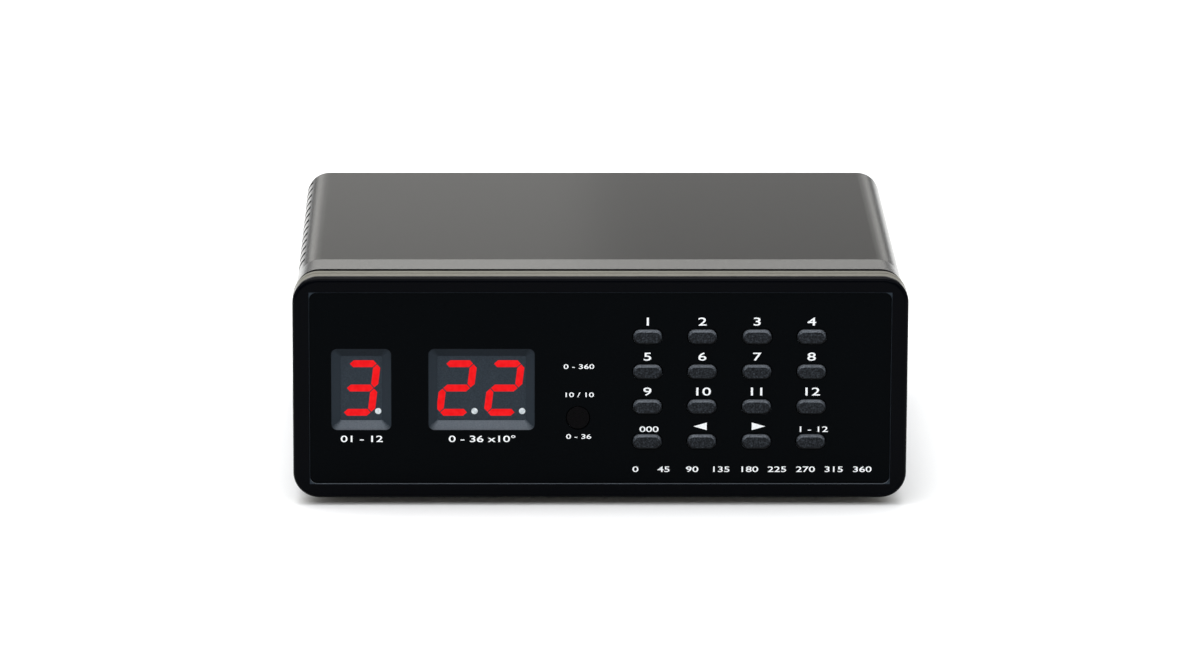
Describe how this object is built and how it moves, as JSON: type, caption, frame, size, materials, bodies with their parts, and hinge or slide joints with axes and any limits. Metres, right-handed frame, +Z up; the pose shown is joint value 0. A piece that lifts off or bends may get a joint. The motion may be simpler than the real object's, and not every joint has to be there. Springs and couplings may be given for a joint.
{
  "type": "antenna rotator controller",
  "caption": "Desk controller for an antenna rotator: low case with a flared cover, black front with red digit displays and push keys.",
  "frame": {"origin": "middle of the footprint on the surface that the feet stand on", "axes": "+X to the right seen from the front, +Y from the front to the rear, +Z up"},
  "size_m": [0.165, 0.1402, 0.063],
  "materials": {
    "bezel": "satin black moulding",
    "fascia": "gloss black sheet",
    "trim": "satin metallic paint",
    "cover": "satin pewter paint",
    "base": "fine texture",
    "panel": "fine texture",
    "display_body": "matt grey face",
    "segment_lit": "glowing red",
    "segment_unlit": "unlit grey",
    "decimal_point": "milky white",
    "key_rubber": "grainy matt",
    "sensor_lens": "dark tinted lens",
    "black_epoxy": "moulded",
    "circuit_board": "solder mask",
    "screw_steel": "zinc plated",
    "foot_rubber": "matt",
    "core_steel": "laminated",
    "coil_tape": "insulating tape",
    "bracket_steel": "zinc plated",
    "relay_case": "moulded",
    "capacitor_sleeve": "sleeved",
    "fuse_glass": "glass tube with caps",
    "clip_brass": "plated",
    "sink_aluminium": "black anodised",
    "ribbon_plastic": "flat cable",
    "header_plastic": "moulded",
    "terminal_plastic": "moulded",
    "gland_plastic": "moulded"
  },
  "bodies": {
    "case": {"front_bezel": "bezel", "fascia_overlay": "fascia", "trim_ring": "trim", "top_cover": "cover", "bottom_cover": "base", "rear_panel": "panel", "memory_display": "display_body", "degree_display": "display_body", "memory_segments_lit": "segment_lit", "degree_segments_lit": "segment_lit", "memory_segments_unlit": "segment_unlit", "degree_segments_unlit": "segment_unlit", "decimal_points": "decimal_point", "keypad_mat": "key_rubber", "sensor_window": "sensor_lens", "infrared_receiver": "black_epoxy", "front_board": "circuit_board", "front_board_screws": "screw_steel", "main_board": "circuit_board", "main_board_screws": "screw_steel", "case_screws": "screw_steel", "rubber_feet": "foot_rubber", "transformer_core": "core_steel", "transformer_coil": "coil_tape", "transformer_bracket": "bracket_steel", "transformer_screws": "screw_steel", "direction_relays": "relay_case", "motor_capacitor": "capacitor_sleeve", "filter_capacitors": "capacitor_sleeve", "bridge_rectifier": "black_epoxy", "microcontroller": "black_epoxy", "fuse": "fuse_glass", "fuse_clips": "clip_brass", "heat_sink": "sink_aluminium", "voltage_regulator": "black_epoxy", "ribbon_cable": "ribbon_plastic", "ribbon_headers": "header_plastic", "terminal_block": "terminal_plastic", "terminal_plates": "clip_brass", "terminal_screws": "screw_steel", "cord_gland": "gland_plastic"},
    "key_01_body": {"key_01": "key_rubber"},
    "key_02_body": {"key_02": "key_rubber"},
    "key_03_body": {"key_03": "key_rubber"},
    "key_04_body": {"key_04": "key_rubber"},
    "key_05_body": {"key_05": "key_rubber"},
    "key_06_body": {"key_06": "key_rubber"},
    "key_07_body": {"key_07": "key_rubber"},
    "key_08_body": {"key_08": "key_rubber"},
    "key_09_body": {"key_09": "key_rubber"},
    "key_10_body": {"key_10": "key_rubber"},
    "key_11_body": {"key_11": "key_rubber"},
    "key_12_body": {"key_12": "key_rubber"},
    "key_initial_body": {"key_initial": "key_rubber"},
    "key_left_body": {"key_left": "key_rubber"},
    "key_right_body": {"key_right": "key_rubber"},
    "key_memory_body": {"key_memory": "key_rubber"}
  },
  "joints": [
    {"name": "key_01_press", "type": "slide", "parent": "case", "child": "key_01_body", "axis": [0, 1, 0], "range_m": [0, 0.0009], "stiffness_N_per_m": 900},
    {"name": "key_02_press", "type": "slide", "parent": "case", "child": "key_02_body", "axis": [0, 1, 0], "range_m": [0, 0.0009], "stiffness_N_per_m": 900},
    {"name": "key_03_press", "type": "slide", "parent": "case", "child": "key_03_body", "axis": [0, 1, 0], "range_m": [0, 0.0009], "stiffness_N_per_m": 900},
    {"name": "key_04_press", "type": "slide", "parent": "case", "child": "key_04_body", "axis": [0, 1, 0], "range_m": [0, 0.0009], "stiffness_N_per_m": 900},
    {"name": "key_05_press", "type": "slide", "parent": "case", "child": "key_05_body", "axis": [0, 1, 0], "range_m": [0, 0.0009], "stiffness_N_per_m": 900},
    {"name": "key_06_press", "type": "slide", "parent": "case", "child": "key_06_body", "axis": [0, 1, 0], "range_m": [0, 0.0009], "stiffness_N_per_m": 900},
    {"name": "key_07_press", "type": "slide", "parent": "case", "child": "key_07_body", "axis": [0, 1, 0], "range_m": [0, 0.0009], "stiffness_N_per_m": 900},
    {"name": "key_08_press", "type": "slide", "parent": "case", "child": "key_08_body", "axis": [0, 1, 0], "range_m": [0, 0.0009], "stiffness_N_per_m": 900},
    {"name": "key_09_press", "type": "slide", "parent": "case", "child": "key_09_body", "axis": [0, 1, 0], "range_m": [0, 0.0009], "stiffness_N_per_m": 900},
    {"name": "key_10_press", "type": "slide", "parent": "case", "child": "key_10_body", "axis": [0, 1, 0], "range_m": [0, 0.0009], "stiffness_N_per_m": 900},
    {"name": "key_11_press", "type": "slide", "parent": "case", "child": "key_11_body", "axis": [0, 1, 0], "range_m": [0, 0.0009], "stiffness_N_per_m": 900},
    {"name": "key_12_press", "type": "slide", "parent": "case", "child": "key_12_body", "axis": [0, 1, 0], "range_m": [0, 0.0009], "stiffness_N_per_m": 900},
    {"name": "key_initial_press", "type": "slide", "parent": "case", "child": "key_initial_body", "axis": [0, 1, 0], "range_m": [0, 0.0009], "stiffness_N_per_m": 900},
    {"name": "key_left_press", "type": "slide", "parent": "case", "child": "key_left_body", "axis": [0, 1, 0], "range_m": [0, 0.0009], "stiffness_N_per_m": 900},
    {"name": "key_right_press", "type": "slide", "parent": "case", "child": "key_right_body", "axis": [0, 1, 0], "range_m": [0, 0.0009], "stiffness_N_per_m": 900},
    {"name": "key_memory_press", "type": "slide", "parent": "case", "child": "key_memory_body", "axis": [0, 1, 0], "range_m": [0, 0.0009], "stiffness_N_per_m": 900}
  ]
}
